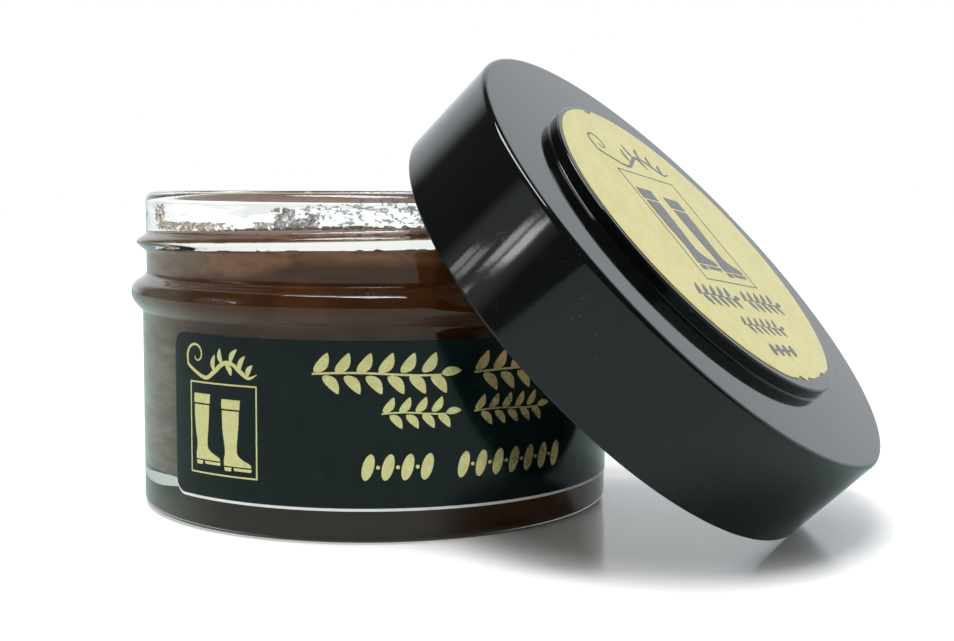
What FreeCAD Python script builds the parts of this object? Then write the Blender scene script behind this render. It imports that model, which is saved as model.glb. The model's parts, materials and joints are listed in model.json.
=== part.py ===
import FreeCAD, Part
import math
import os

# Small glass jar of shoe cream with its black plastic screw lid.
# The jar stands upright on the origin; its axis is +Z and its base is z = 0.
# The lid is off the jar: it stands on the lowest point of its skirt and leans
# back towards -X, so that its open end rests on the lip of the jar.
# All lengths are in millimetres, all angles in degrees.

V = FreeCAD.Vector

# ---- glass jar -------------------------------------------------------------
BODY_R = 27.0           # outside of the straight body
HEEL_R = 0.9            # rounding between body and base
JAR_H = 35.5            # base to lip
NECK_R = 26.5           # outside of the neck, under the thread
BORE_R = 24.8           # inside of body and neck
FLOOR_Z = 4.3           # thick glass floor
FLOOR_FILLET = 2.6      # rounding between floor and inner wall
LIP_OUT_R = 1.1         # outer rounding of the lip
LIP_IN_R = 0.55         # inner rounding of the lip
BEAD_R = 28.23          # crest of the transfer bead
BEAD_Z = 24.25          # height of that crest
BEAD_TOP = 26.3         # where the bead leaves the neck
BEAD_BOTTOM = 21.8      # where the bead meets the body

# ---- screw thread, right-handed, single start ------------------------------
LEAD = 4.23             # six turns to the inch
JAR_RIDGE_H = 1.12      # height of the glass ridge over the neck
JAR_RIDGE_UP = 1.1      # half width of its upper flank
JAR_RIDGE_LOW = 1.35    # half width of its lower flank
JAR_RIDGE_ANG = 32.0    # azimuth of the lower end of the ridge
JAR_RIDGE_Z = 27.67     # height of the crest at that end
JAR_RIDGE_SWEEP = 366.0 # angle the ridge covers, with its run-outs
RUN_OUT = 26.0          # angle over which each end of a ridge fades
END_SIZE = 0.06         # height of a ridge at its very end, as a share of the full height
END_WIDTH = 0.35        # and its width there, as a share of the full width
FADE_POWER = 1.3        # how quickly a ridge fades
SECTION_STEP = 9.0      # angle between two cross-sections of a ridge
ROOT = 0.35             # how deep a ridge is rooted in its wall

# ---- cream -----------------------------------------------------------------
CREAM_Z = 30.3          # level of the cream

# ---- wrap-round label ------------------------------------------------------
LABEL_T = 0.1
LABEL_Z0 = 3.72
LABEL_Z1 = 20.78
LABEL_A0 = -113.4       # azimuth of the left end
LABEL_A1 = 33.4         # azimuth of the right end
LABEL_CORNER = 1.5
CUT_DEPTH = 8.0         # radial depth of the corner cuts, well past the label both ways

# ---- lid, in its own frame: open end at z = 0, closed end up ---------------
LID_R = 29.35
LID_H = 11.9            # open end to the flat top
LID_TOP_T = 1.5
LID_BORE_R = 28.1       # inside of the skirt
LID_MOUTH = 0.5         # lead-in chamfer at the open end
LID_EDGE_R = 0.3        # outer rounding at the open end
LID_TOP_R = 0.8         # outer rounding at the closed end
LID_RIDGE_H = 1.05
LID_RIDGE_W = 1.0
LID_RIDGE_Z = 2.35      # crest height at the start of the ridge
LID_RIDGE_SWEEP = 215.0
LID_RIDGE_ANG = 105.0
BOSS_R = 20.4           # raised round panel on the top
BOSS_H = 1.35
BOSS_EDGE_R = 0.22
LINER_R = 27.6
LINER_T = 0.9
LINER_GAP = 0.03
FOIL_R = 19.65
FOIL_T = 0.08
FOIL_OFF = 0.25         # the foil disc is stuck on slightly off centre

# ---- how the lid leans -----------------------------------------------------
LID_TILT = 46.27        # lid axis from the vertical, leaning towards +X
LID_X = 29.42           # centre of the open end
LID_Z = 21.085


def ring_profile(points):
    """Face in the XZ plane from straight edges through the given points."""
    wire = Part.makePolygon([V(x, 0, z) for x, z in points] + [V(points[0][0], 0, points[0][1])])
    return Part.Face(wire)


def revolve(face):
    return face.revolve(V(0, 0, 0), V(0, 0, 1), 360)


def arc(cx, cz, r, a0, a1):
    """Arc in the XZ plane about (cx, cz), angles measured from +X to +Z."""
    am = 0.5 * (a0 + a1)
    pts = []
    for a in (a0, am, a1):
        t = math.radians(a)
        pts.append(V(cx + r * math.cos(t), 0, cz + r * math.sin(t)))
    return Part.Arc(pts[0], pts[1], pts[2]).toShape()


def line(x0, z0, x1, z1):
    return Part.LineSegment(V(x0, 0, z0), V(x1, 0, z1)).toShape()


def smooth(points):
    """Smooth curve in the XZ plane that starts and ends upright."""
    curve = Part.BSplineCurve()
    pts = [V(x, 0, z) for x, z in points]
    curve.interpolate(Points=pts, InitialTangent=V(0, 0, 1), FinalTangent=V(0, 0, 1))
    return curve.toShape()


def ridge_section(ang, z, r_wall, height, low, up, inward):
    """Rounded cross-section of a thread ridge, rooted in the wall."""
    shape = [(-ROOT, -low), (0.02, -0.93 * low), (0.5 * height, -0.5 * low),
             (0.92 * height, -0.17 * low), (height, 0.0), (0.92 * height, 0.17 * up),
             (0.5 * height, 0.5 * up), (0.02, 0.93 * up), (-ROOT, up)]
    side = -1.0 if inward else 1.0
    c = math.cos(math.radians(ang))
    s = math.sin(math.radians(ang))
    pts = []
    for out, dz in shape:
        r = r_wall + side * out
        pts.append(V(r * c, r * s, z + dz))
    crest = Part.BSplineCurve()
    crest.interpolate(Points=pts)
    back = Part.LineSegment(pts[-1], pts[0]).toShape()
    return Part.Wire([crest.toShape(), back])


def thread_ridge(r_wall, height, low, up, ang0, z0, sweep, inward):
    """Helical ridge that fades out at both ends."""
    count = int(round(sweep / SECTION_STEP))
    sections = []
    for i in range(count + 1):
        turn = sweep * i / count
        fade = min(1.0, turn / RUN_OUT, (sweep - turn) / RUN_OUT)
        fade = END_SIZE + (1 - END_SIZE) * math.sin(0.5 * math.pi * fade) ** FADE_POWER
        wide = END_WIDTH + (1 - END_WIDTH) * fade
        z = z0 + LEAD * turn / 360.0
        sections.append(ridge_section(ang0 + turn, z, r_wall, height * fade, low * wide, up * wide, inward))
    return Part.makeLoft(sections, True, False)


def make_jar():
    edges = []
    edges.append(line(0, 0, BODY_R - HEEL_R, 0))
    edges.append(arc(BODY_R - HEEL_R, HEEL_R, HEEL_R, -90, 0))
    edges.append(line(BODY_R, HEEL_R, BODY_R, BEAD_BOTTOM))
    bead = [(BODY_R, BEAD_BOTTOM), (BODY_R + 0.09, BEAD_BOTTOM + 0.32), (BODY_R + 0.58, BEAD_BOTTOM + 0.86),
            (BEAD_R - 0.12, BEAD_Z - 0.82), (BEAD_R, BEAD_Z), (BEAD_R - 0.33, BEAD_Z + 0.9),
            (NECK_R + 0.66, BEAD_TOP - 0.6), (NECK_R + 0.1, BEAD_TOP - 0.18), (NECK_R, BEAD_TOP + 0.15)]
    edges.append(smooth(bead))
    edges.append(line(NECK_R, BEAD_TOP + 0.15, NECK_R, JAR_H - LIP_OUT_R))
    edges.append(arc(NECK_R - LIP_OUT_R, JAR_H - LIP_OUT_R, LIP_OUT_R, 0, 90))
    edges.append(line(NECK_R - LIP_OUT_R, JAR_H, BORE_R + LIP_IN_R, JAR_H))
    edges.append(arc(BORE_R + LIP_IN_R, JAR_H - LIP_IN_R, LIP_IN_R, 90, 180))
    edges.append(line(BORE_R, JAR_H - LIP_IN_R, BORE_R, FLOOR_Z + FLOOR_FILLET))
    edges.append(arc(BORE_R - FLOOR_FILLET, FLOOR_Z + FLOOR_FILLET, FLOOR_FILLET, 0, -90))
    edges.append(line(BORE_R - FLOOR_FILLET, FLOOR_Z, 0, FLOOR_Z))
    edges.append(line(0, FLOOR_Z, 0, 0))
    glass = revolve(Part.Face(Part.Wire(edges)))
    ridge = thread_ridge(NECK_R, JAR_RIDGE_H, JAR_RIDGE_LOW, JAR_RIDGE_UP,
                         JAR_RIDGE_ANG, JAR_RIDGE_Z, JAR_RIDGE_SWEEP, False)
    return glass.fuse(ridge)


def make_cream():
    edges = []
    edges.append(line(0, FLOOR_Z, BORE_R - FLOOR_FILLET, FLOOR_Z))
    edges.append(arc(BORE_R - FLOOR_FILLET, FLOOR_Z + FLOOR_FILLET, FLOOR_FILLET, -90, 0))
    edges.append(line(BORE_R, FLOOR_Z + FLOOR_FILLET, BORE_R, CREAM_Z))
    edges.append(line(BORE_R, CREAM_Z, 0, CREAM_Z))
    edges.append(line(0, CREAM_Z, 0, FLOOR_Z))
    return revolve(Part.Face(Part.Wire(edges)))


def corner_cutter(ang, z, side, up):
    """What is cut off one corner of the label to round it."""
    r = LABEL_CORNER
    inner = BODY_R - 0.5 * CUT_DEPTH
    round_off = Part.makeCylinder(r, CUT_DEPTH, V(inner, 0, 0), V(1, 0, 0))
    corner = Part.makeBox(CUT_DEPTH, r, r, V(inner, 0 if side > 0 else -r, 0 if up > 0 else -r))
    cutter = corner.cut(round_off)
    shift = math.degrees(r / (BODY_R + LABEL_T))
    cutter.translate(V(0, 0, z - up * r))
    cutter.rotate(V(0, 0, 0), V(0, 0, 1), ang - side * shift)
    return cutter


def make_jar_label():
    strip = ring_profile([(BODY_R, LABEL_Z0), (BODY_R + LABEL_T, LABEL_Z0),
                          (BODY_R + LABEL_T, LABEL_Z1), (BODY_R, LABEL_Z1)])
    strip.rotate(V(0, 0, 0), V(0, 0, 1), LABEL_A0)
    label = strip.revolve(V(0, 0, 0), V(0, 0, 1), LABEL_A1 - LABEL_A0)
    for ang, side in ((LABEL_A0, -1), (LABEL_A1, 1)):
        for z, up in ((LABEL_Z0, -1), (LABEL_Z1, 1)):
            label = label.cut(corner_cutter(ang, z, side, up))
    return label


def make_lid_shell():
    edges = []
    ceiling = LID_H - LID_TOP_T
    edges.append(line(LID_BORE_R + LID_MOUTH, 0, LID_R - LID_EDGE_R, 0))
    edges.append(arc(LID_R - LID_EDGE_R, LID_EDGE_R, LID_EDGE_R, -90, 0))
    edges.append(line(LID_R, LID_EDGE_R, LID_R, LID_H - LID_TOP_R))
    edges.append(arc(LID_R - LID_TOP_R, LID_H - LID_TOP_R, LID_TOP_R, 0, 90))
    edges.append(line(LID_R - LID_TOP_R, LID_H, BOSS_R, LID_H))
    edges.append(line(BOSS_R, LID_H, BOSS_R, LID_H + BOSS_H - BOSS_EDGE_R))
    edges.append(arc(BOSS_R - BOSS_EDGE_R, LID_H + BOSS_H - BOSS_EDGE_R, BOSS_EDGE_R, 0, 90))
    edges.append(line(BOSS_R - BOSS_EDGE_R, LID_H + BOSS_H, 0, LID_H + BOSS_H))
    edges.append(line(0, LID_H + BOSS_H, 0, ceiling))
    edges.append(line(0, ceiling, LID_BORE_R, ceiling))
    edges.append(line(LID_BORE_R, ceiling, LID_BORE_R, LID_MOUTH))
    edges.append(line(LID_BORE_R, LID_MOUTH, LID_BORE_R + LID_MOUTH, 0))
    shell = revolve(Part.Face(Part.Wire(edges)))
    ridge = thread_ridge(LID_BORE_R, LID_RIDGE_H, LID_RIDGE_W, LID_RIDGE_W,
                         LID_RIDGE_ANG, LID_RIDGE_Z, LID_RIDGE_SWEEP, True)
    return shell.fuse(ridge)


def make_lid_liner():
    z = LID_H - LID_TOP_T - LINER_GAP - LINER_T
    return Part.makeCylinder(LINER_R, LINER_T, V(0, 0, z))


def make_lid_label():
    disc = Part.makeCylinder(FOIL_R, FOIL_T, V(0, 0, LID_H + BOSS_H))
    disc.translate(V(-FOIL_OFF, 0, 0))
    return disc


def leaned(shape):
    """Lid frame to the place where the lid leans on the jar."""
    shape = shape.copy()
    shape.rotate(V(0, 0, 0), V(0, 1, 0), LID_TILT)
    shape.translate(V(LID_X, 0, LID_Z))
    return shape


def save(shape, node):
    if shape.ShapeType != "Solid":
        solids = shape.Solids
        shape = solids[0] if len(solids) == 1 else shape
    shape.exportStep(os.path.join("parts", node + ".step"))
    print(node, shape.ShapeType, shape.isValid(), round(shape.Volume, 2))


def main():
    os.makedirs("parts", exist_ok=True)
    save(make_jar(), "glass_jar")
    save(make_cream(), "shoe_cream")
    save(make_jar_label(), "jar_label")
    save(leaned(make_lid_shell()), "lid_shell")
    save(leaned(make_lid_liner()), "lid_liner")
    save(leaned(make_lid_label()), "lid_label")


main()
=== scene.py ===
import json
import math

import bpy
import numpy as np
from mathutils import Euler, Matrix, Vector


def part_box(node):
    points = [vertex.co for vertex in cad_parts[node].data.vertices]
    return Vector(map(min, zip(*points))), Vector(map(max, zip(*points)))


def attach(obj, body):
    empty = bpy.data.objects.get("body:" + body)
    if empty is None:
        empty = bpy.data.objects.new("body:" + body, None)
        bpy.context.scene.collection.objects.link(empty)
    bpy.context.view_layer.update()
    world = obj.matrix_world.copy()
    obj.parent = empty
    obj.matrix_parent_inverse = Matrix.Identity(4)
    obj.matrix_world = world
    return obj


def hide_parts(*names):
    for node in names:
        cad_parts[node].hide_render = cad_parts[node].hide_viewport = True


# A small glass jar of brown shoe cream. Its black screw lid leans against it.
# Shapes are worked out in millimetres and written to the meshes in metres.

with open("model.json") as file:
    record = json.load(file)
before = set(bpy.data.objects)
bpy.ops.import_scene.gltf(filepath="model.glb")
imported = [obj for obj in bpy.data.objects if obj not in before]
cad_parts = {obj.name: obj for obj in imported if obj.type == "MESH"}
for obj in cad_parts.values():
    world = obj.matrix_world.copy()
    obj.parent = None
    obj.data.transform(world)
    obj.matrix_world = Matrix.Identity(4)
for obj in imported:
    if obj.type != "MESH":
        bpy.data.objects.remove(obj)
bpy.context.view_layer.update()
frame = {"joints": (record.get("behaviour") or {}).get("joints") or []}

MM = 0.001
TAU = 2 * math.pi
SMOOTH_UP_TO = 40         # degrees between faces over which an edge stays crisp


def mm_box(node):
    """Lowest and highest corner of a CAD node, in millimetres."""
    low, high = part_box(node)
    return np.array(low) / MM, np.array(high) / MM


# ---- sizes from the frame
jar_top = mm_box("glass_jar")[1]
label_low, label_high = mm_box("jar_label")
turn = [j for j in frame["joints"] if j["name"] == "lid_turn"][0]
LID_AXIS = np.array(turn["axis"]) / np.linalg.norm(turn["axis"])
LID_ORIGIN = np.array(turn["pos_m"]) / MM
LID_X_AXIS = np.array((LID_AXIS[2], 0.0, -LID_AXIS[0]))
LID_Y_AXIS = np.array((0.0, 1.0, 0.0))

# ---- glass jar (mm)
JAR_H = jar_top[2]
BODY_R = 27.0
NECK_R = 26.5
BORE_R = 24.8
HEEL_R = 0.9
FLOOR_Z = 4.3
FLOOR_FILLET = 2.6
LIP_OUT_R = 1.1
LIP_IN_R = 0.55
BEAD = [(27.0, 21.8), (27.09, 22.12), (27.58, 22.66), (28.11, 23.43), (28.23, 24.25),
        (27.9, 25.15), (27.16, 25.7), (26.6, 26.12), (26.5, 26.45)]
HOLLOW_R = 24.4           # domed hollow under the base
HOLLOW_H = 2.3
KNURL_IN, KNURL_OUT = 24.5, 26.0   # ring of fine bars that the jar stands on
KNURL_DEPTH = 0.10
KNURLS = 84

# ---- screw threads
LEAD = 4.23
RUN_OUT = 26.0            # degrees over which each end of a ridge fades
# height, half width below and above the crest, start angle, start z, sweep
JAR_RIDGE = (1.12, 1.35, 1.1, 32.0, 27.67, 366.0)
LID_RIDGE = (1.05, 1.0, 1.0, 105.0, 2.35, 215.0)

# ---- cream
CREAM_Z = 30.3
CREAM_DISH = 0.5          # how much lower the middle is than the edge
CREAM_SINK = 0.04         # how far the cream reaches into the glass, so that no air shows
PAINTED_REFLECTION_SIDE = -160.0         # azimuth where the pale painted reflection on the cream behind the glass is strongest
FRINGE_SIDE = -113.0      # azimuth of the warm fringe of smears

# ---- label on the jar
LABEL_R = 27.1
LABEL_SINK = 0.03
LABEL_Z0, LABEL_Z1 = label_low[2], label_high[2]
LABEL_A0, LABEL_A1 = -113.4, 33.4
LABEL_CORNER = 1.5
PRINT_H = 0.022           # how far the print stands off the film
PRINT_SINK = 0.012
PAINTED_LIGHT_EDGE_H = 0.30       # pale strip of painted light that shows under the film

# ---- lid, in its own frame: open end at z = 0
LID_R = 29.35
LID_H = 11.9
LID_TOP_T = 1.5
LID_BORE_R = 28.1
LID_MOUTH = 0.5
LID_EDGE_R = 0.3
LID_TOP_R = 0.55
BOSS_R = 20.4
BOSS_H = 1.35
BOSS_EDGE_R = 0.22
LINER_R = 27.6
LINER_T = 0.9
LINER_GAP = 0.03
FOIL_R = 19.65
FOIL_T = 0.08
FOIL_OFF = 0.25

# ---- studio, in metres and degrees where not said
FLOOR_RADIUS = 1.74
TENT_RADIUS = 1.8
LID_SHADE_X = 36.0        # middle of the shaded floor under the lid, mm
LID_SHADE_R = 13.0        # its radius, mm
TOP_LIGHT = (-119, 83, 0.75, 0.50, 0.26, 13.0)   # azimuth, elevation, distance, width, height, radiance
WINDOW_FAR = 0.9
WINDOW_LEAN = -22.0       # how far the window leans over as seen from the jar
WINDOW_PANES = [          # azimuth, elevation, width, height, radiance
    (-142.2, 18.5, 3.1, 1.8, 3.4),
    (-138.6, 17.0, 2.9, 1.8, 3.4),
    (-132.7, 15.6, 2.9, 2.6, 7.0),
    (-128.8, 13.6, 3.4, 2.6, 10.0),
    (-133.8, 12.3, 2.2, 1.1, 5.0),
]
LIGHT_AIM = (0.01, 0, 0.02)   # the point that the lights stand round
CAMERA_AT = (0.082849, -0.152414, 0.036413)
CAMERA_TURN = (84.7115, -0.2968, 24.6361)   # about X, then Y, then Z
CAMERA_LENS = 55.41       # mm


# ---- noise
def lattice(ix, iy, iz, seed):
    """Repeatable random value in 0..1 for whole-number coordinates."""
    h = (ix.astype(np.int64) * 374761393 + iy.astype(np.int64) * 668265263
         + iz.astype(np.int64) * 1274126177 + seed * 974711)
    h = (h ^ (h >> 13)) * 1274126177
    h = h ^ (h >> 16)
    return (h & 0xFFFFFF) / float(0xFFFFFF)


def noise(x, y, z=0.0, seed=0):
    """Smooth value noise in 0..1."""
    x, y, z = np.broadcast_arrays(np.asarray(x, float), y, z)
    ix, iy, iz = np.floor(x), np.floor(y), np.floor(z)
    fx, fy, fz = x - ix, y - iy, z - iz
    fx, fy, fz = (f * f * (3 - 2 * f) for f in (fx, fy, fz))
    total = np.zeros(x.shape)
    for dx in (0, 1):
        for dy in (0, 1):
            for dz in (0, 1):
                w = (fx if dx else 1 - fx) * (fy if dy else 1 - fy) * (fz if dz else 1 - fz)
                total += w * lattice(ix + dx, iy + dy, iz + dz, seed)
    return total


def fbm(x, y, z=0.0, seed=0, octaves=4):
    """Layered noise in 0..1."""
    total, size, top = 0.0, 1.0, 0.0
    for i in range(octaves):
        f = 2.0 ** i
        total = total + size * noise(np.asarray(x) * f, np.asarray(y) * f, np.asarray(z) * f, seed + i)
        top += size
        size *= 0.5
    return total / top


def ease(a, b, x):
    """0 below a, 1 above b, smooth between."""
    t = np.clip((x - a) / (b - a), 0, 1)
    return t * t * (3 - 2 * t)


def polar(r, a):
    """x and y of a radius and an angle."""
    return r * np.cos(a), r * np.sin(a)


def direction(azimuth, elevation=0.0):
    a, e = math.radians(azimuth), math.radians(elevation)
    return Vector((math.cos(a) * math.cos(e), math.sin(a) * math.cos(e), math.sin(e)))


# ---- meshes
def lid_place(points):
    """Lid frame to the row frame, in millimetres."""
    p = np.asarray(points, float)
    return LID_ORIGIN + p[..., 0:1] * LID_X_AXIS + p[..., 1:2] * LID_Y_AXIS + p[..., 2:3] * LID_AXIS


def link_mesh(name, points, faces, material):
    """Object from points in metres."""
    mesh = bpy.data.meshes.new(name)
    mesh.from_pydata(points, [], faces)
    mesh.materials.append(material)
    obj = bpy.data.objects.new(name, mesh)
    bpy.context.scene.collection.objects.link(obj)
    return obj


def make_object(name, points, faces, material, sharp=None):
    """Piece from points in millimetres. Edges steeper than sharp degrees stay crisp."""
    obj = link_mesh(name, (np.asarray(points) * MM).tolist(), faces, material)
    obj.data.validate()
    obj.data.shade_smooth()
    if sharp:
        obj.data.set_sharp_from_angle(angle=math.radians(sharp))
    return obj


def rounded(corners, step=11.0, guard=0.05):
    """Polyline of (r, z, radius) corners, with an arc in place of each corner that has a radius."""
    out = []
    pts = [np.array(c[:2], float) for c in corners]
    for i, corner in enumerate(corners):
        radius = corner[2] if len(corner) > 2 else 0
        if not radius:
            out.append(tuple(pts[i]))
            continue
        a = pts[i - 1] - pts[i]
        b = pts[i + 1] - pts[i]
        la, lb = np.linalg.norm(a), np.linalg.norm(b)
        a, b = a / la, b / lb
        half = 0.5 * math.acos(np.clip(a @ b, -1, 1))
        reach = radius / math.tan(half)
        mid = (a + b) / np.linalg.norm(a + b)
        centre = pts[i] + mid * radius / math.sin(half)
        sweep = math.pi - 2 * half
        count = max(3, int(math.ceil(math.degrees(sweep) / step)))
        start = pts[i] + a * reach - centre
        side = 1.0 if a[0] * b[1] - a[1] * b[0] < 0 else -1.0
        if reach + guard < la * 0.9:
            out.append(tuple(pts[i] + a * (reach + guard)))
        for k in range(count + 1):
            t = side * sweep * k / count
            c, s = math.cos(t), math.sin(t)
            out.append((centre[0] + c * start[0] - s * start[1], centre[1] + s * start[0] + c * start[1]))
        if reach + guard < lb * 0.9:
            out.append(tuple(pts[i] + b * (reach + guard)))
    return out


def split(profile, longest):
    """Adds points so that no step of a profile is longer than asked for."""
    out = [profile[0]]
    for p, q in zip(profile, profile[1:]):
        n = max(1, int(math.ceil(math.dist(p, q) / longest)))
        for k in range(1, n + 1):
            out.append((p[0] + (q[0] - p[0]) * k / n, p[1] + (q[1] - p[1]) * k / n))
    return out


def spline(points, per_span=6):
    """Smooth curve through points of any dimension."""
    p = np.array(points, float)
    p = np.vstack([2 * p[0] - p[1], p, 2 * p[-1] - p[-2]])
    out = []
    for i in range(1, len(p) - 2):
        for k in range(per_span):
            t = k / per_span
            a, b, c, d = p[i - 1], p[i], p[i + 1], p[i + 2]
            out.append(0.5 * (2 * b + (c - a) * t + (2 * a - 5 * b + 4 * c - d) * t * t
                              + (3 * b - a - 3 * c + d) * t ** 3))
    out.append(p[-2])
    return np.array(out)


def ring_faces(rings, segments, first=0):
    """Quads between rings of points that follow each other from point number first."""
    j = np.arange(segments)
    k = (j + 1) % segments
    faces = []
    for i in range(rings - 1):
        a = first + i * segments
        b = a + segments
        faces += np.stack([a + j, a + k, b + k, b + j], 1).tolist()
    return faces


def flipped(faces):
    """The same faces seen from their other side."""
    return [face[:1] + face[:0:-1] for face in faces]


def lathe(name, profile, segments, material, shift=None, place=None):
    """Closed skin of revolution. The profile starts and ends on the axis.
    shift(r, z, angle) may move the rings' points and returns new r and z."""
    prof = np.array(profile, float)
    angle = np.arange(segments) * TAU / segments
    r = np.repeat(prof[1:-1, 0:1], segments, 1)
    z = np.repeat(prof[1:-1, 1:2], segments, 1)
    if shift:
        r, z = shift(r, z, np.repeat(angle[None, :], len(r), 0))
    grid = np.stack([*polar(r, angle), z], -1).reshape(-1, 3)
    points = np.vstack([[0, 0, prof[0, 1]], grid, [0, 0, prof[-1, 1]]])
    rings = len(prof) - 2
    faces = ring_faces(rings, segments, 1)
    end = len(points) - 1
    last = end - segments
    for j in range(segments):
        k = (j + 1) % segments
        faces += [[0, 1 + k, 1 + j], [last + j, last + k, end]]
    if place:
        points = place(points)
    return make_object(name, points, faces, material)


def slab(top, bottom):
    """Points and faces of a closed sheet between two grids of points of the same shape."""
    n, m = top.shape[:2]
    points = np.concatenate([top.reshape(-1, 3), bottom.reshape(-1, 3)])
    under = n * m
    ids = np.arange(under).reshape(n, m)
    a, b, c, d = ids[:-1, :-1], ids[1:, :-1], ids[1:, 1:], ids[:-1, 1:]
    upper = np.stack([a, b, c, d], -1).reshape(-1, 4)
    faces = upper.tolist() + (upper[:, ::-1] + under).tolist()
    rim = ids[:, 0].tolist() + ids[-1, 1:].tolist() + ids[-2::-1, -1].tolist() + ids[0, -2:0:-1].tolist()
    for p, q in zip(rim, rim[1:] + rim[:1]):
        faces.append([q, p, p + under, q + under])
    return points, faces


def join_slabs(name, slabs, material, place):
    """One object from many closed sheets. place takes flat (x, y, height) points to their surface."""
    points, faces, base = [], [], 0
    for top, bottom in slabs:
        p, f = slab(top, bottom)
        points.append(p)
        faces += [[v + base for v in face] for face in f]
        base += len(p)
    return make_object(name, place(np.vstack(points)), faces, material, SMOOTH_UP_TO)


# ---- flat drawing: every mark is a closed sheet in (x, y, height)
def at_height(flat, height):
    """(x, y) points with a height, or one for each, as (x, y, height)."""
    return np.concatenate([flat, np.broadcast_to(height, flat.shape[:-1])[..., None]], -1)


def mark(left, right, across=2):
    """Sheet between two edge lines, given as (x, y) points of equal number."""
    left, right = np.array(left, float), np.array(right, float)
    t = np.linspace(0, 1, across + 1)[None, :, None]
    flat = right[:, None] * (1 - t) + left[:, None] * t
    return at_height(flat, PRINT_H)[::-1], at_height(flat, -PRINT_SINK)[::-1]


def stroke(points, widths, across=2, per_span=6):
    """Pen stroke along a smooth line, with a width at each given point."""
    rows = spline([tuple(p) + (w,) for p, w in zip(points, widths)], per_span)
    line, width = rows[:, :2], np.maximum(rows[:, 2:3], 0.03)
    along = np.gradient(line, axis=0)
    along /= np.linalg.norm(along, axis=1)[:, None]
    out = np.stack([-along[:, 1], along[:, 0]], 1)
    return mark(line + out * width / 2, line - out * width / 2, across)


def leaf(x, y, length, width, angle, bend=0.12):
    """Pointed leaf from its foot at (x, y)."""
    t = np.linspace(0, 1, 13)
    c, s = math.cos(math.radians(angle)), math.sin(math.radians(angle))
    along = t * length
    side = bend * length * np.sin(math.pi * t)
    half = np.maximum(0.5 * width * np.sin(math.pi * t ** 0.85) ** 0.7, 0.02)
    edges = []
    for sign in (1, -1):
        off = side + sign * half
        edges.append(np.stack([x + c * along - s * off, y + s * along + c * off], 1))
    return mark(edges[0], edges[1], 2)


def oval(x, y, w, h, lean=0.0):
    """Upright oval, leaning to the right."""
    t = np.cos(np.linspace(math.pi, 0, 15))
    half = np.maximum(0.5 * w * np.sqrt(np.maximum(1 - t * t, 0)), 0.02)
    mid = x + lean * 0.5 * h * t
    rows = y + 0.5 * h * t
    return mark(np.stack([mid - half, rows], 1)[::-1], np.stack([mid + half, rows], 1)[::-1], 2)


def frame_lines(x0, y0, x1, y1, w):
    """Thin rectangular frame, mitred at the corners."""
    out = []
    corners = [(x0, y0), (x1, y0), (x1, y1), (x0, y1)]
    inner = [(x0 + w, y0 + w), (x1 - w, y0 + w), (x1 - w, y1 - w), (x0 + w, y1 - w)]
    for i in range(4):
        k = (i + 1) % 4
        a, b = (np.linspace(loop[i], loop[k], 15) for loop in (corners, inner))
        out.append(mark(b, a, 1))
    return out


def boot(x, y, size):
    """Side view of a tall boot, its heel at (x, y): shaft, turned cuff, sole and heel block."""
    def edges(rows):
        rows = spline(rows, 5)
        left, right = (np.stack([x + size * rows[:, i], y + size * rows[:, 0]], 1) for i in (1, 2))
        return mark(left, right, 8)

    upper = [(0.07, 0.0, 0.455), (0.105, -0.004, 0.452), (0.135, -0.005, 0.405), (0.175, 0.0, 0.31),
             (0.235, 0.015, 0.235), (0.33, 0.012, 0.222), (0.5, -0.015, 0.238), (0.68, -0.03, 0.255),
             (0.83, -0.03, 0.262)]
    cuff = [(0.853, -0.04, 0.272), (0.92, -0.042, 0.276), (0.985, -0.035, 0.282)]
    sole = [(0.012, 0.18, 0.452), (0.032, 0.17, 0.462), (0.052, 0.16, 0.462)]
    heel = [(0.0, 0.012, 0.118), (0.026, 0.006, 0.124), (0.052, 0.0, 0.13)]
    return [edges(rows) for rows in (upper, cuff, sole, heel)]


def branch(x0, x1, y, height, pitch):
    """Laurel branch along x: a thin stem with leaves to both sides and a tip leaf."""
    out = []
    count = max(2, int(round((x1 - x0) / pitch)) - 1)
    tip = 0.55 * height
    span = (x1 - x0) - tip
    step = span / count
    reach = 0.5 * height / math.sin(math.radians(50))
    wide = min(0.30 * height, 0.52 * step)
    stem = [(x0 + span * t, y + 0.04 * height * math.sin(5 * t)) for t in np.linspace(0, 1, 7)]
    out.append(stroke(stem, [0.055 * height] * 7, 1, 4))
    for i in range(count):
        x = x0 + step * (i + 0.1)
        out.append(leaf(x, y + 0.05 * height, reach * 0.95, wide, 54, -0.10))
        out.append(leaf(x + 0.4 * step, y - 0.05 * height, reach * 0.95, wide, -48, 0.10))
    out.append(leaf(x0 + span, y, tip, 0.24 * height, 6, 0.05))
    return out


def bead_row(x0, x1, y, height, pitch):
    """Row of leaning ovals with dots between."""
    out = []
    count = max(2, int(round((x1 - x0) / pitch)))
    step = (x1 - x0) / count
    for i in range(count):
        x = x0 + (i + 0.5) * step
        out.append(oval(x, y, 0.60 * step, height, 0.22))
        if i < count - 1:
            out.append(oval(x + 0.5 * step, y, 0.20 * step, 0.20 * step))
    return out


def scroll(x, y, size, turns, start, thick):
    """Spiral that opens out, as points and widths."""
    t = np.linspace(0, 1, 10 + int(8 * turns))
    a = math.radians(start) + TAU * turns * (t - 1)
    pts = np.stack(polar(size * (0.12 + 0.88 * t), a), 1) + (x, y)
    return pts, size * thick * (0.45 + 1.1 * t)


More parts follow.
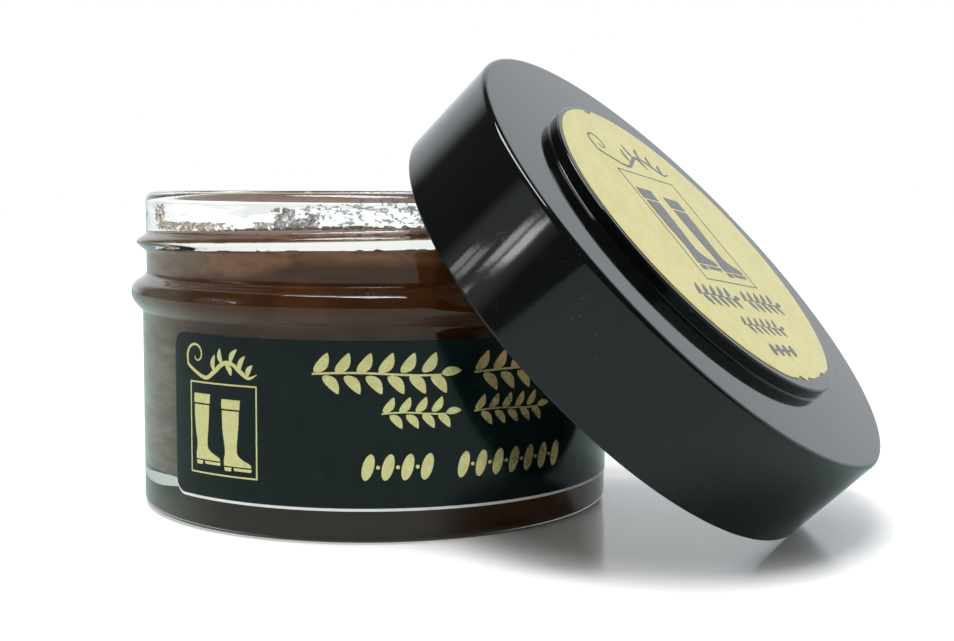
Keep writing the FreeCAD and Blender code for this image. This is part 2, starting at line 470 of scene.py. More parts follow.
def flourish(x0, x1, y0, y1, weight=1.0):
    """Pen ornament: a tall loop at the left that runs out into a leafy tail."""
    h = y1 - y0
    w = x1 - x0
    pts, wid = scroll(x0 + 0.40 * h, y1 - 0.42 * h, 0.42 * h, 1.15, 250, 0.13 * weight)
    tail = [(0.30, 0.02), (0.44, 0.20), (0.56, 0.42), (0.68, 0.44), (0.80, 0.24), (0.90, 0.10), (1.0, 0.20)]
    tail_w = [0.10, 0.12, 0.12, 0.10, 0.12, 0.08, 0.02]
    line = [tuple(p) for p in pts[:-1]] + [(x0 + f * w, y0 + up * h) for f, up in tail]
    widths = list(wid[:-1]) + [v * h * weight for v in tail_w]
    out = [stroke(line, widths, 2, 4)]
    for f, up, size, angle in ((0.43, 0.22, 0.42, 84), (0.55, 0.42, 0.40, 100), (0.66, 0.46, 0.42, 58),
                               (0.60, 0.42, 0.34, -58), (0.78, 0.26, 0.44, 66), (0.88, 0.14, 0.34, 62)):
        out.append(leaf(x0 + f * w, y0 + up * h, size * h, 0.15 * h * weight, angle, 0.12))
    return out


# ---- materials
class Paint:
    """Small helper that builds one node material. Uniform values are given to its shader by name."""

    def __init__(self, name, **values):
        self.mat = bpy.data.materials.new(name)
        self.mat.use_nodes = True
        self.tree = self.mat.node_tree
        self.tree.nodes.clear()
        self.shader = self.add("BsdfPrincipled")
        self.out = self.add("OutputMaterial")
        self.link(self.shader.outputs[0], self.out.inputs["Surface"])
        self.coords = self.add("TexCoord").outputs["Object"]
        for key, value in values.items():
            self.shader.inputs[key.replace("_", " ")].default_value = value

    def add(self, kind, inputs=(), **settings):
        """New node, with its settings and with values on the inputs that are named in pairs."""
        node = self.tree.nodes.new("ShaderNode" + kind)
        for key, value in settings.items():
            setattr(node, key, value)
        for key, value in inputs:
            node.inputs[key].default_value = value
        return node

    def link(self, a, b):
        self.tree.links.new(a, b)

    def feed(self, socket, value):
        """Sets an input to a number or a colour, or links it to an output."""
        if isinstance(value, (int, float)):
            socket.default_value = value
        elif isinstance(value, tuple):
            socket.default_value = value + (1.0,)
        else:
            self.link(value, socket)

    def scaled(self, scale, turn_by=(0, 0, 0)):
        """Object coordinates turned and stretched."""
        node = self.add("Mapping", (("Rotation", turn_by), ("Scale", scale)))
        self.link(self.coords, node.inputs["Vector"])
        return node.outputs["Vector"]

    def noise(self, size_mm, detail=3.0, rough=0.55, vector=None, warp=0.0):
        """Noise whose lumps are about size_mm across."""
        node = self.add("TexNoise", (("Scale", 1.0 / (size_mm * MM)), ("Detail", detail),
                                     ("Roughness", rough), ("Distortion", warp)))
        self.link(vector if vector is not None else self.coords, node.inputs["Vector"])
        return node.outputs["Fac"]

    def ramp(self, value, *stops):
        """Colour ramp; each stop is (place, colour or grey)."""
        node = self.add("ValToRGB")
        self.link(value, node.inputs["Fac"])
        elements = node.color_ramp.elements
        while len(elements) < len(stops):
            elements.new(0.5)
        for element, (place, colour) in zip(elements, stops):
            element.position = place
            rgb = (colour,) * 3 if isinstance(colour, (int, float)) else colour
            element.color = tuple(rgb) + (1.0,)
        return node.outputs["Color"]

    def span(self, value, a, b, low=0.0, high=1.0):
        """value from a..b to low..high, clamped and smooth."""
        node = self.add("MapRange", (("From Min", a), ("From Max", b), ("To Min", low), ("To Max", high)),
                        interpolation_type="SMOOTHSTEP")
        self.link(value, node.inputs["Value"])
        return node.outputs["Result"]

    def math(self, kind, a, b):
        node = self.add("Math", operation=kind)
        self.feed(node.inputs[0], a)
        self.feed(node.inputs[1], b)
        return node.outputs["Value"]

    def times(self, a, b):
        return self.math("MULTIPLY", a, b)

    def patchy(self, size_mm, low, high, top=0.75):
        """Soft patches between low and high."""
        return self.span(self.noise(size_mm, 3.0), 0.3, top, low, high)

    def along(self, vector, unit):
        """Length of a vector along a direction."""
        node = self.add("VectorMath", operation="DOT_PRODUCT")
        self.link(vector, node.inputs[0])
        node.inputs[1].default_value = unit
        return node.outputs["Value"]

    def blend(self, fac, a, b):
        """Colour a to colour b by fac."""
        node = self.add("Mix", data_type="RGBA")
        self.link(fac, node.inputs["Factor"])
        self.feed(node.inputs[6], a)
        self.feed(node.inputs[7], b)
        return node.outputs[2]

    def bump(self, height, distance_mm, strength=1.0, under=None):
        node = self.add("Bump", (("Strength", strength), ("Distance", distance_mm * MM)))
        self.link(height, node.inputs["Height"])
        if under is not None:
            self.link(under, node.inputs["Normal"])
        return node.outputs["Normal"]

    def use(self, colour, rough, normal=None, **others):
        """Links the shader's inputs and returns the finished material."""
        for key, value in dict(Base_Color=colour, Roughness=rough, Normal=normal, **others).items():
            if value is not None:
                self.link(value, self.shader.inputs[key.replace("_", " ")])
        return self.mat


def glass_material():
    p = Paint("clear_glass", Transmission_Weight=1.0, IOR=1.5)
    tint = p.ramp(p.noise(9.0, 2.0), (0.3, (0.965, 0.985, 0.975)), (0.7, (0.985, 0.995, 0.985)))
    smudge = p.span(p.noise(5.0, 5.0, 0.65, warp=0.6), 0.5, 0.78, 0.0, 0.05)
    wave = p.noise(1.0, 1.0, 0.4, p.scaled((0.16, 0.16, 0.5)))
    fine = p.noise(0.5, 2.0)
    normal = p.bump(fine, 0.0005, 0.2, p.bump(wave, 0.03, 0.55))
    depth = p.add("VolumeAbsorption")
    depth.inputs["Color"].default_value = (0.45, 0.55, 0.43, 1.0)
    depth.inputs["Density"].default_value = 23.0
    p.link(depth.outputs[0], p.out.inputs["Volume"])
    return p.use(tint, smudge, normal)


def cream_colour(p, light, middle, dark):
    """Brown paste: soft patches, with darker drag marks across them."""
    patch = p.noise(7.0, 4.0, 0.6, warp=0.8)
    drag = p.noise(1.0, 3.0, 0.6, p.scaled((0.13, 0.13, 0.9)))
    base = p.ramp(patch, (0.25, dark), (0.55, middle), (0.8, light))
    return p.blend(p.span(drag, 0.42, 0.75, 0.0, 0.55), base, tuple(0.6 * c for c in dark))


def cream_material():
    """The open top of the cream: a slightly greasy sheen."""
    p = Paint("brown_cream", Specular_IOR_Level=0.25, IOR=1.45)
    colour = cream_colour(p, (0.190, 0.085, 0.040), (0.140, 0.057, 0.022), (0.100, 0.038, 0.013))
    rough = p.patchy(1.4, 0.30, 0.52)
    normal = p.bump(p.noise(0.35, 4.0), 0.03, 0.6, p.bump(p.noise(2.2, 3.0), 0.12, 0.5))
    return p.use(colour, rough, normal)


def pressed_cream_material():
    """The cream against the glass: no sheen of its own. Painted light makes it paler near the lip, and a
    painted reflection veils it to one side.
    """
    p = Paint("brown_cream_pressed", Specular_IOR_Level=0.0)
    paste = cream_colour(p, (0.128, 0.048, 0.018), (0.088, 0.030, 0.009), (0.058, 0.019, 0.005))
    parts = p.add("SeparateXYZ")
    p.link(p.coords, parts.inputs[0])
    side = p.along(p.coords, direction(PAINTED_REFLECTION_SIDE))
    reach = BORE_R * MM
    height = p.math("ADD", parts.outputs["Z"], p.times(p.noise(9.0, 3.0), 0.0012))
    drop = p.span(side, 0.16 * reach, 0.48 * reach, 0.0, 0.0019)
    # painted light: the cream's upper band is made paler, as if lit more directly near the lip; cloud breaks
    # it into patches
    upper = p.span(p.math("ADD", height, drop), 0.0283, 0.0298)
    cloud = p.span(p.noise(3.2, 5.0, 0.65, p.scaled((0.6, 0.6, 1.3)), 0.5), 0.34, 0.66, 0.25, 1.0)
    paste = p.blend(p.times(upper, cloud), paste, (0.275, 0.125, 0.062))
    # painted reflection: a pale grey veil over the cream towards that side, across the upper band, in a
    # narrow strip at every height, and over the lower body
    wide = p.times(upper, p.span(side, 0.30 * reach, 0.93 * reach, 0.0, 0.75))
    narrow_reflection = p.span(side, 0.56 * reach, 0.90 * reach, 0.0, 0.80)
    body = p.times(p.span(height, 0.0185, 0.0215, 1.0, 0.0),
                  p.span(side, 0.50 * reach, 0.80 * reach))
    painted_reflection = p.math("MAXIMUM", p.math("MAXIMUM", wide, narrow_reflection), body)
    painted_reflection = p.times(painted_reflection, p.span(p.noise(3.0, 5.0, 0.6, p.scaled((0.4, 0.4, 1.8))), 0.3, 0.7, 0.45, 0.95))
    colour = p.blend(painted_reflection, paste, (0.30, 0.255, 0.205))
    rough = p.patchy(1.4, 0.6, 0.8)
    normal = p.bump(p.noise(1.5, 3.0), 0.02, 0.12)
    return p.use(colour, rough, normal)


def smear_material():
    """Smear of cream on the glass, broken and half clear, warmer in the low fringe on one side, where its
    palest yellow specks are painted highlights.
    """
    p = Paint("cream_smears", Specular_IOR_Level=0.2)
    body = p.noise(0.24, 4.0, 0.75)
    tone = p.ramp(body, (0.32, (0.085, 0.055, 0.043)), (0.5, (0.24, 0.175, 0.145)),
                  (0.68, (0.55, 0.47, 0.40)))
    side = p.along(p.coords, direction(FRINGE_SIDE))
    warm = p.span(side, 0.93 * BORE_R * MM, 0.97 * BORE_R * MM, 0.0, 0.85)
    # the fringe's warm browns are the smear's own colour; its palest yellow specks are painted highlights
    fringe_with_glints = p.ramp(body, (0.34, (0.22, 0.095, 0.045)), (0.5, (0.50, 0.27, 0.13)), (0.66, (0.85, 0.70, 0.36)))
    colour = p.blend(warm, tone, fringe_with_glints)
    rough = p.patchy(0.4, 0.55, 0.8, 0.7)
    clear = p.span(p.noise(0.45, 5.0, 0.75), 0.36, 0.62, 0.22, 0.80)
    normal = p.bump(body, 0.03, 0.6)
    return p.use(colour, rough, normal, Alpha=clear)


def trace_material():
    """Thin dried film of cream on clear glass."""
    p = Paint("cream_traces", Specular_IOR_Level=0.3)
    body = p.noise(0.35, 4.0, 0.7)
    colour = p.ramp(body, (0.3, (0.20, 0.19, 0.175)), (0.55, (0.36, 0.35, 0.33)), (0.8, (0.60, 0.59, 0.57)))
    rough = p.patchy(0.4, 0.35, 0.6, 0.7)
    clear = p.span(p.noise(0.22, 4.0, 0.75), 0.36, 0.62, 0.12, 0.70)
    normal = p.bump(p.noise(0.2, 4.0), 0.02, 0.6)
    return p.use(colour, rough, normal, Alpha=clear)


def film_material():
    p = Paint("dark_label", Specular_IOR_Level=0.26)
    blotch = p.noise(3.0, 5.0, 0.7)
    base = p.ramp(blotch, (0.35, (0.0016, 0.0060, 0.0054)), (0.7, (0.0042, 0.0120, 0.0112)))
    specks = p.span(p.noise(0.22, 2.0, 0.5), 0.76, 0.84)
    colour = p.blend(specks, base, (0.10, 0.11, 0.105))
    lines = p.noise(1.0, 3.0, 0.6, p.scaled((0.5, 0.5, 3.6), (0.0, 0.5, 0.3)))
    rough = p.math("ADD", p.span(blotch, 0.3, 0.75, 0.09, 0.17), p.span(lines, 0.62, 0.72, 0.0, 0.10))
    normal = p.bump(p.noise(0.16, 3.0), 0.0035, 0.6, p.bump(p.noise(4.0, 2.0), 0.05, 0.30))
    return p.use(colour, rough, normal)


def painted_light_edge_material():
    """Painted light: a near-white strip along the lower edge of the dark film, standing in for a bright line
    of light there.
    """
    p = Paint("painted_light_label_edge", Specular_IOR_Level=0.5)
    tone = p.ramp(p.noise(2.2, 3.0), (0.3, (0.82, 0.86, 0.80)), (0.75, (0.98, 1.0, 0.95)))
    rough = p.span(p.noise(1.0, 2.0), 0.3, 0.7, 0.2, 0.35)
    return p.use(tone, rough)


def gilt_material():
    """Hot-foiled gold: bright where it faces the windows, with fine pits."""
    p = Paint("gold_print", Metallic=0.88, Specular_IOR_Level=0.5)
    crease = p.noise(0.45, 4.0, 0.65, warp=0.4)
    tone = p.ramp(crease, (0.25, (1.0, 0.735, 0.28)), (0.5, (1.0, 0.815, 0.385)), (0.8, (1.0, 0.89, 0.55)))
    pits = p.span(p.noise(0.20, 3.0, 0.6), 0.60, 0.72, 0.0, 0.55)
    colour = p.blend(pits, tone, (0.48, 0.40, 0.14))
    rough = p.patchy(0.8, 0.24, 0.37)
    normal = p.bump(crease, 0.03, 0.45)
    return p.use(colour, rough, normal)


def plastic_material():
    p = Paint("black_plastic", Specular_IOR_Level=0.46, IOR=1.48)
    haze = p.noise(9.0, 4.0, 0.6)
    base = p.ramp(haze, (0.3, (0.0026, 0.0038, 0.0030)), (0.75, (0.0044, 0.0060, 0.0048)))
    dust = p.span(p.noise(0.26, 2.0, 0.6), 0.70, 0.80)
    gather = p.span(p.noise(5.0, 3.0, 0.6), 0.48, 0.62)
    colour = p.blend(p.times(dust, gather), base, (0.20, 0.205, 0.20))
    hair_a = p.noise(1.0, 2.0, 0.5, p.scaled((0.06, 2.4, 2.4), (0.4, 0.2, 0.6)))
    hair_b = p.noise(1.0, 2.0, 0.5, p.scaled((2.6, 2.6, 0.07), (0.5, 1.0, 0.1)))
    hairs = p.math("MAXIMUM", p.span(hair_a, 0.70, 0.74), p.span(hair_b, 0.70, 0.74))
    rough = p.math("ADD", p.span(haze, 0.3, 0.75, 0.045, 0.085), p.times(hairs, 0.14))
    fine = p.bump(p.noise(0.25, 3.0), 0.0022, 0.6, p.bump(p.noise(7.0, 1.0), 0.02, 0.4))
    normal = p.bump(hairs, 0.002, 0.5, fine)
    return p.use(colour, rough, normal)


def foil_material():
    p = Paint("gold_foil", Metallic=0.55, Coat_Weight=0.45, Coat_Roughness=0.15)
    grain = p.noise(0.22, 4.0, 0.75)
    cloud = p.noise(6.0, 3.0, 0.6)
    tone = p.ramp(cloud, (0.3, (0.70, 0.605, 0.160)), (0.75, (0.77, 0.675, 0.195)))
    dark = p.span(grain, 0.30, 0.46, 0.45, 0.0)
    colour = p.blend(dark, tone, (0.52, 0.44, 0.16))
    colour = p.blend(p.span(grain, 0.56, 0.68, 0.0, 0.4), colour, (0.84, 0.78, 0.36))
    fleck = p.times(p.span(p.noise(0.45, 2.0), 0.74, 0.80), p.span(p.noise(4.0, 2.0), 0.50, 0.60))
    colour = p.blend(fleck, colour, (0.14, 0.12, 0.06))
    rough = p.patchy(1.2, 0.34, 0.48)
    normal = p.bump(grain, 0.012, 0.5, p.bump(p.noise(5.0, 2.0), 0.03, 0.3))
    return p.use(colour, rough, normal)


def ink_material():
    p = Paint("dark_ink", Specular_IOR_Level=0.42)
    wear = p.noise(0.35, 4.0, 0.7)
    colour = p.ramp(wear, (0.3, (0.009, 0.011, 0.017)), (0.66, (0.018, 0.021, 0.029)),
                    (0.84, (0.13, 0.12, 0.075)))
    rough = p.patchy(0.8, 0.13, 0.24)
    normal = p.bump(p.noise(0.25, 3.0), 0.004, 0.5)
    return p.use(colour, rough, normal)


def board_material():
    p = Paint("liner_board", Specular_IOR_Level=0.3)
    fibre = p.noise(1.0, 4.0, 0.7, p.scaled((1.2, 0.35, 1.2), (0.0, 0.8, 0.5)))
    colour = p.ramp(fibre, (0.3, (0.50, 0.455, 0.38)), (0.55, (0.66, 0.62, 0.545)), (0.8, (0.74, 0.71, 0.65)))
    rough = p.patchy(1.0, 0.55, 0.8)
    normal = p.bump(fibre, 0.02, 0.6)
    return p.use(colour, rough, normal)


def floor_material(name, tone, shade, near_glow, far_glow, outer_glow):
    """Pale floor: glossy and shaded under the lid, matt and evenly bright out to its edge."""
    p = Paint(name, Emission_Color=(1.0, 1.0, 1.0, 1.0))
    away = p.add("VectorMath", operation="DISTANCE")
    p.link(p.coords, away.inputs[0])
    away.inputs[1].default_value = (LID_SHADE_X * MM, 0.0, 0.0)
    open_floor = p.span(away.outputs["Value"], LID_SHADE_R * MM, 2.6 * LID_SHADE_R * MM)
    darker = tuple(0.985 * c for c in tone)
    colour = p.ramp(p.noise(60.0, 2.0), (0.3, darker), (0.75, tone))
    colour = p.blend(p.span(open_floor, 0.0, 1.0, shade, 0.0), colour, (0.02, 0.024, 0.023))
    rough = p.math("ADD", p.patchy(25.0, 0.0, 0.03), p.span(open_floor, 0.0, 1.0, 0.12, 0.24))
    glow = p.math("ADD", p.span(open_floor, 0.0, 1.0, near_glow, far_glow),
                  p.span(away.outputs["Value"], 0.20, 0.90, 0.0, outer_glow))
    shine = p.span(open_floor, 0.0, 0.8, 0.5, 0.0)
    return p.use(colour, rough, Specular_IOR_Level=shine, Emission_Strength=glow)


GLASS = glass_material()
CREAM = cream_material()
PRESSED = pressed_cream_material()
PAINTED_LIGHT_EDGE = painted_light_edge_material()
SMEARS = smear_material()
TRACES = trace_material()
FILM = film_material()
GILT = gilt_material()
PLASTIC = plastic_material()
FOIL = foil_material()
INK = ink_material()
BOARD = board_material()


# ---- glass jar
def ridge_height(r, z, angle, crest_h, low, up, ang0, z0, sweep):
    """Height of a helical thread ridge over its wall, at each point."""
    out = np.zeros_like(r)
    degrees = np.degrees(angle)
    first = (degrees - ang0) % 360.0
    for lap in range(2):
        t = first + 360.0 * lap
        inside = t <= sweep
        fade = np.clip(np.minimum(t, sweep - t) / RUN_OUT, 0, 1)
        fade = np.sin(0.5 * math.pi * fade) ** 1.3
        wide = 0.35 + 0.65 * fade
        dz = z - (z0 + LEAD * t / 360.0)
        reach = np.where(dz < 0, low, up) * wide
        bump = crest_h * fade * np.cos(0.5 * math.pi * np.clip(dz / reach, -1, 1)) ** 2
        out = np.maximum(out, np.where(inside, bump, 0))
    return out


def jar_shift(r, z, angle):
    """Adds the thread, the knurled standing ring and the slight unevenness of pressed glass."""
    neck = (z > BEAD[-1][1]) & (z < JAR_H - LIP_OUT_R) & (r > NECK_R - 0.01)
    ridge = ridge_height(r, z, angle, *JAR_RIDGE)
    under = (z < 0.02) & (r > KNURL_IN) & (r < KNURL_OUT)
    bars = 0.5 - 0.5 * np.cos(angle * KNURLS)
    fade = ease(KNURL_IN, KNURL_IN + 0.3, r) * (1 - ease(KNURL_OUT - 0.3, KNURL_OUT, r))
    uneven = 0.035 * (fbm(*polar(2.2, angle), z * 0.16, 5, 2) - 0.5)
    outside = (r > BODY_R - 1.5) & (z > 2.0)
    r = r + np.where(neck, ridge, 0) + np.where(outside, uneven, 0)
    z = z + np.where(under, KNURL_DEPTH * bars * fade, 0)
    return r, z


def make_jar():
    dome = [(HOLLOW_R * t, HOLLOW_H * (1 - t * t)) for t in np.linspace(0, 1, 28)]
    base = dome[:-1] + rounded([dome[-1], (BODY_R, 0, HEEL_R), (BODY_R, BEAD[0][1])])
    bead = [tuple(p) for p in spline(BEAD, 6)]
    lip = rounded([(NECK_R, BEAD[-1][1]), (NECK_R, JAR_H, LIP_OUT_R), (BORE_R, JAR_H, LIP_IN_R),
                   (BORE_R, FLOOR_Z, FLOOR_FILLET), (0, FLOOR_Z)], 8.0)
    lip = [q for q in split(lip[:2], 0.075)] + lip[2:]
    profile = split(base, 0.4)[:-1] + bead[:-1] + lip
    profile = profile[:-1] + split(profile[-2:], 3.0)[1:]
    return lathe("jar_glass", profile, 420, GLASS, jar_shift)


# ---- cream
def cream_shift(r, z, angle):
    """Gives the top the low swirls that wiping leaves, and an uneven edge at the wall."""
    top = z > CREAM_Z - 3.0
    x, y = polar(r, angle)
    inward = 1 - ease(0.80, 1.0, r / BORE_R)
    twist = angle * 2.0 + 0.42 * r + 6.0 * fbm(x * 0.07, y * 0.07, 0, 21, 3)
    worked = 0.25 + 0.75 * ease(0.40, 0.62, fbm(x * 0.10 + 5.0, y * 0.10, 0, 25, 2))
    swirl = 0.18 * worked * (np.sin(twist) * ease(1.0, 6.0, r) + 0.35 * np.sin(2.3 * twist + 0.8 * r))
    grain = 0.24 * (fbm(x * 0.55, y * 0.55, 0, 31, 4) - 0.5)
    edge = 0.16 * (fbm(*polar(7, angle), 0, 41, 3) - 0.55)
    z = z + np.where(top, inward * (swirl - 0.22) + grain * inward + edge * (1 - inward), 0)
    return r, z


def make_cream():
    wall = BORE_R + CREAM_SINK
    floor = FLOOR_Z - CREAM_SINK
    low = rounded([(0, floor), (wall, floor, FLOOR_FILLET), (wall, CREAM_Z)], 8.0)
    rim = [(wall, CREAM_Z), (BORE_R - 0.25, CREAM_Z - 0.12), (BORE_R - 0.7, CREAM_Z - 0.28),
           (0.8 * BORE_R, CREAM_Z - 0.42), (0.55 * BORE_R, CREAM_Z - CREAM_DISH), (0, CREAM_Z - CREAM_DISH)]
    profile = split(low, 2.0)[:-1] + split([tuple(q) for q in spline(rim, 5)], 0.22)
    fill = lathe("cream_fill", profile, 360, PRESSED, cream_shift)
    fill.data.materials.append(CREAM)
    for face in fill.data.polygons:
        centre = face.center / MM
        face.material_index = int(centre.z > CREAM_Z - 2.0 and math.hypot(centre.x, centre.y) < BORE_R - 0.05)
    return fill


def residue(name, a0, a1, z0, z1, thickness, material, step=0.11):
    """Cream left on the inner wall: closed lumps wherever thickness(angle, z) is above 0, in mm."""
    na = int(round(math.radians(a1 - a0) * BORE_R / step))
    nz = int(round((z1 - z0) / step))
    a, z = np.meshgrid(np.linspace(a0, a1, na + 1), np.linspace(z0, z1, nz + 1), indexing="ij")
    t = thickness(a, z)
    on = (t[:-1, :-1] + t[1:, :-1] + t[1:, 1:] + t[:-1, 1:]) > 0.008
    on[0], on[-1], on[:, 0], on[:, -1] = False, False, False, False
    while True:
        p, q, r, s = on[:-1, :-1], on[1:, 1:], on[1:, :-1], on[:-1, 1:]
        crossed = (p & q & ~r & ~s) | (r & s & ~p & ~q)
        if not crossed.any():
            break
        i, j = np.nonzero(crossed)
        for di, dj in ((0, 0), (0, 1), (1, 0), (1, 1)):
            on[i + di, j + dj] = True
    ang = np.radians(a)
    layers = []
    for radius in (BORE_R - 0.012 - np.maximum(t, 0), np.full(t.shape, BORE_R + 0.03)):
        layers.append(np.stack([*polar(radius, ang), z], -1).reshape(-1, 3))
    ids = np.arange((na + 1) * (nz + 1)).reshape(na + 1, nz + 1)
    under = ids.size
    faces = []
    for i, j in zip(*np.nonzero(on)):
        c = [int(v) for v in (ids[i, j], ids[i + 1, j], ids[i + 1, j + 1], ids[i, j + 1])]
        faces.append(c[::-1])
        faces.append([v + under for v in c])
        for (p, q), (di, dj) in zip(((0, 1), (1, 2), (2, 3), (3, 0)), ((0, -1), (1, 0), (0, 1), (-1, 0))):
            if not on[i + di, j + dj]:
                faces.append([c[p], c[q], c[q] + under, c[p] + under])
    used, faces = np.unique(np.array(faces), return_inverse=True)
    return make_object(name, np.vstack(layers)[used], faces.reshape(-1, 4).tolist(), material, sharp=50)


def near(a, centre, half):
    """1 at an azimuth, falling to 0 at half a width from it, round the circle."""
    d = np.abs((a - centre + 180) % 360 - 180)
    return 1 - ease(0.55 * half, half, d)


def hem_thickness(a, z):
    """Low ragged hem of cream all round, just over its level."""
    x, y = polar(BORE_R, np.radians(a))
    rag = fbm(x * 0.35, y * 0.35, z * 0.5, 51, 4)
    grit = 3.2 * (fbm(x * 1.6, y * 1.6, z * 2.2, 61, 3) - 0.5)
    cover = (1 - ease(30.35, 30.75 + 0.25 * rag * near(a, 95, 100), z)) * (0.35 + 0.75 * near(a, 95, 110))
    thick = 0.22 * (cover * (0.8 + 0.4 * rag) + grit * np.minimum(1, 2 * cover) - 0.5)
    return np.where((z < CREAM_Z - 0.1) | (cover < 0.05), -1.0, np.clip(thick, -1.0, 0.22))


def smear_thickness(a, z):
    """Smears on the near wall over the thread: a clump, a fringe and a few crumbs."""
    x, y = polar(BORE_R, np.radians(a))
    rag = fbm(x * 0.6, y * 0.6, z * 0.9, 52, 4)
    grit = 2.3 * (fbm(x * 3.0, y * 3.0, z * 4.4, 62, 4) - 0.5)
    zones = (          # strength, azimuth and half width, height and half height
        (0.74, -113, 21, 31.85, 0.66), (0.60, -127, 4.4, 33.2, 1.3),
        (1.00, -83.0, 3.4, 32.8, 1.4), (0.90, -79.4, 5.4, 32.3, 0.8),
        (0.75, -75.8, 1.9, 32.7, 0.9), (0.75, -88.6, 3.4, 32.1, 0.5),
        (0.56, -64, 22, 31.95, 0.42), (0.30, -81, 9, 33.7, 0.9),
    )
    cover = np.maximum.reduce([f * near(a, a0, da) * near(z, z0, dz) for f, a0, da, z0, dz in zones])
    thick = 0.16 * (cover * (0.7 + 0.6 * rag) + grit * np.minimum(1, 2 * cover) - 0.52)
    return np.where(cover < 0.05, -1.0, np.clip(thick, -1.0, 0.16))


def trace_thickness(a, z):
    """Thin film drawn out by a finger: fine wavering lines and specks between them."""
    s = np.radians(a) * BORE_R
    sway = 0.9 * fbm(s * 0.30, z * 0.8, 0, 75, 3)
    drag = fbm(s * 0.62, (z + sway) * 2.3, 0, 71, 4)
    lines = 1 - np.abs(drag - 0.5) / 0.055
    speck = 4.0 * (fbm(s * 2.1, z * 4.4, 0, 81, 3) - 0.58)
    zone = ease(-84, -70, a) * (1 - ease(-12, -2, a)) * ease(32.1, 32.5, z) * (1 - ease(34.35, 34.8, z))
    broken = ease(0.30, 0.48, fbm(s * 0.8, z * 2.0, 0, 77, 3))
    return 0.05 * (zone * np.maximum(lines * broken, speck) - 0.14)


# ---- label and its print
def wrap(points):
    """Flat (x, y, height) to the jar: x runs round the label, y is z."""
    p = np.asarray(points, float)
    return np.stack([*polar(LABEL_R + p[:, 2], p[:, 0] / LABEL_R), p[:, 1]], 1)


def round_arc(azimuth):
    """Length round the label for an azimuth in degrees."""
    return math.radians(azimuth) * LABEL_R


def corner_rise(from_end):
    """How far the rounded corner lifts the label's edge, at a distance from the label's end."""
    left = LABEL_CORNER - np.minimum(from_end, LABEL_CORNER)
    return LABEL_CORNER - np.sqrt(np.maximum(LABEL_CORNER ** 2 - left ** 2, 0))


def label_sheet(name, x, y, lift, material):
    """Closed sheet on the jar: rows of heights y at each x, lifted over the label's face."""
    flat = np.stack([np.repeat(x[:, None], y.shape[1], 1), y], -1)
    under = BODY_R - LABEL_SINK - LABEL_R
    return join_slabs(name, [(at_height(flat, lift), at_height(flat, under))], material, wrap)


def make_label():
    x = np.linspace(round_arc(LABEL_A0), round_arc(LABEL_A1), 260)
    corner = LABEL_CORNER * (1 - np.cos(np.linspace(0.1, math.pi / 2, 10)))
    x = np.unique(np.concatenate([x, x[0] + corner, x[-1] - corner]))
    d = np.minimum(x - x[0], x[-1] - x)
    cut = corner_rise(d)
    t = np.linspace(0, 1, 25)[None, :]
    low, high = (LABEL_Z0 + cut)[:, None], (LABEL_Z1 - cut)[:, None]
    y = low * (1 - t) + high * t
    lift = 0.02 * (fbm(x[:, None] * 0.22, y * 0.22, 0, 91, 3) - 0.5)
    inside = np.minimum(np.minimum(y - low, high - y), d[:, None])
    lift = lift * ease(0, 1.2, inside) - 0.01 * (1 - ease(0, 0.25, inside))
    return label_sheet("jar_label_film", x, y, lift, FILM)


def emblem(x0, y0, x1, y1, line):
    """A pair of tall boots in a thin frame."""
    w, h = x1 - x0, y1 - y0
    size = min(0.84 * h, 0.83 * w)
    out = frame_lines(x0, y0, x1, y1, line)
    out += boot(x0 + 0.10 * w, y0 + 0.10 * h, size)
    out += boot(x0 + 0.54 * w, y0 + 0.065 * h, size)
    return out


def make_label_edge():
    """Pale strip of painted light along the lower edge of the film."""
    first, last = round_arc(LABEL_A0), round_arc(LABEL_A1)
    start, end = first + 0.12 * LABEL_CORNER, last - 0.12 * LABEL_CORNER
    corner = np.linspace(0, 1.4 * LABEL_CORNER, 18)
    x = np.unique(np.concatenate([start + corner, np.linspace(start, end, 220), end - corner]))
    edge = LABEL_Z0 + corner_rise(np.minimum(x - first, last - x))
    y = edge[:, None] + np.array([-PAINTED_LIGHT_EDGE_H, 0.05 - PAINTED_LIGHT_EDGE_H, 0.02])
    return label_sheet("jar_label_edge_light", x, y, np.array([-0.05, -0.03, -0.03]), PAINTED_LIGHT_EDGE)


def make_label_print():
    a = round_arc
    gap = a(-43.0), a(-40.0)
    pieces = [
        ("label_emblem", emblem(a(-107.5), 6.15, a(-88.2), 15.85, 0.17)),
        ("label_flourish", flourish(a(-108.8), a(-88.2), 16.2, 20.25)),
        ("label_row_top", branch(a(-75.4), gap[0], 17.4, 3.9, 2.1) + branch(gap[1], a(-4.6), 17.4, 3.9, 2.1)),
        ("label_row_middle", branch(a(-60.5), gap[0], 13.4, 3.0, 1.65)
         + branch(gap[1], a(-19.6), 13.4, 3.0, 1.65)),
        ("label_row_low", bead_row(a(-65.5), a(-48.5), 7.95, 2.7, 2.0)
         + bead_row(a(-44.5), a(-15.1), 7.95, 2.7, 2.0)),
    ]
    return [join_slabs(name, marks, GILT, wrap) for name, marks in pieces]


# ---- lid
def lid_shift(r, z, angle):
    bore = (np.abs(r - LID_BORE_R) < 0.01) & (z > LID_MOUTH - 0.01)
    return r - np.where(bore, ridge_height(r, z, angle, *LID_RIDGE), 0), z


